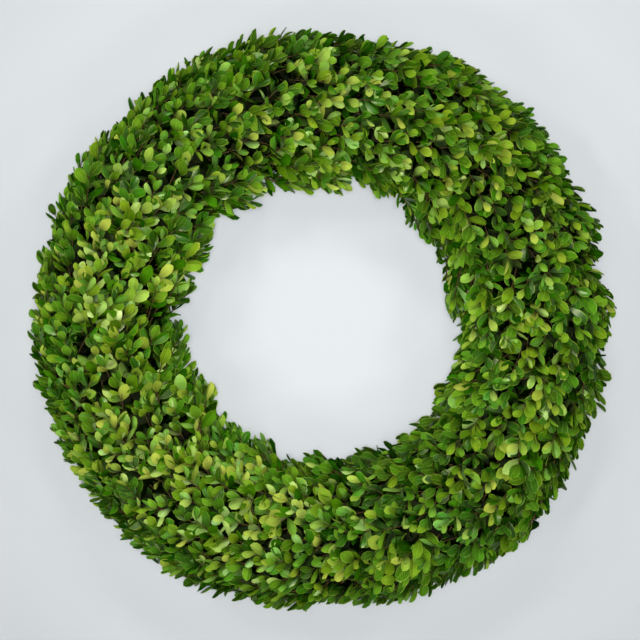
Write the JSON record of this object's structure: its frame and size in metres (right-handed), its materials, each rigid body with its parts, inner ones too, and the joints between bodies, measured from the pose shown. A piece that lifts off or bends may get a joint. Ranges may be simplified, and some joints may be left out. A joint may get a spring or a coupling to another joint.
{
  "type": "boxwood wreath",
  "caption": "Ring of short boxwood sprigs bound in overlapping bunches to a flat wire frame, all pointing clockwise, with an open middle and a flat back.",
  "frame": {"origin": "on the surface the wreath lies on, under the centre of its bounding box", "axes": "+Z up along the ring's axis, out of the leafy front; +Y towards the top of the wreath as it hangs; seen from +Z with +Y up, the sprigs point clockwise"},
  "size_m": [0.5037, 0.5045, 0.0959],
  "materials": {
    "foliage": "boxwood leaves, glossy mid to deep green above and paler matt yellow-green below, on thin brown twigs",
    "wire": "dark green enamelled florist wire, satin"
  },
  "bodies": {
    "root": {"wire_frame": "wire", "bunch_01": "foliage", "bunch_02": "foliage", "bunch_03": "foliage", "bunch_04": "foliage", "bunch_05": "foliage", "bunch_06": "foliage", "bunch_07": "foliage", "bunch_08": "foliage", "bunch_09": "foliage", "bunch_10": "foliage", "bunch_11": "foliage", "bunch_12": "foliage", "bunch_13": "foliage", "bunch_14": "foliage", "bunch_15": "foliage", "bunch_16": "foliage", "bunch_17": "foliage", "bunch_18": "foliage", "wire_tie_01": "wire", "wire_tie_02": "wire", "wire_tie_03": "wire", "wire_tie_04": "wire", "wire_tie_05": "wire", "wire_tie_06": "wire", "wire_tie_07": "wire", "wire_tie_08": "wire", "wire_tie_09": "wire", "wire_tie_10": "wire", "wire_tie_11": "wire", "wire_tie_12": "wire", "wire_tie_13": "wire", "wire_tie_14": "wire", "wire_tie_15": "wire", "wire_tie_16": "wire", "wire_tie_17": "wire", "wire_tie_18": "wire"}
  },
  "joints": []
}
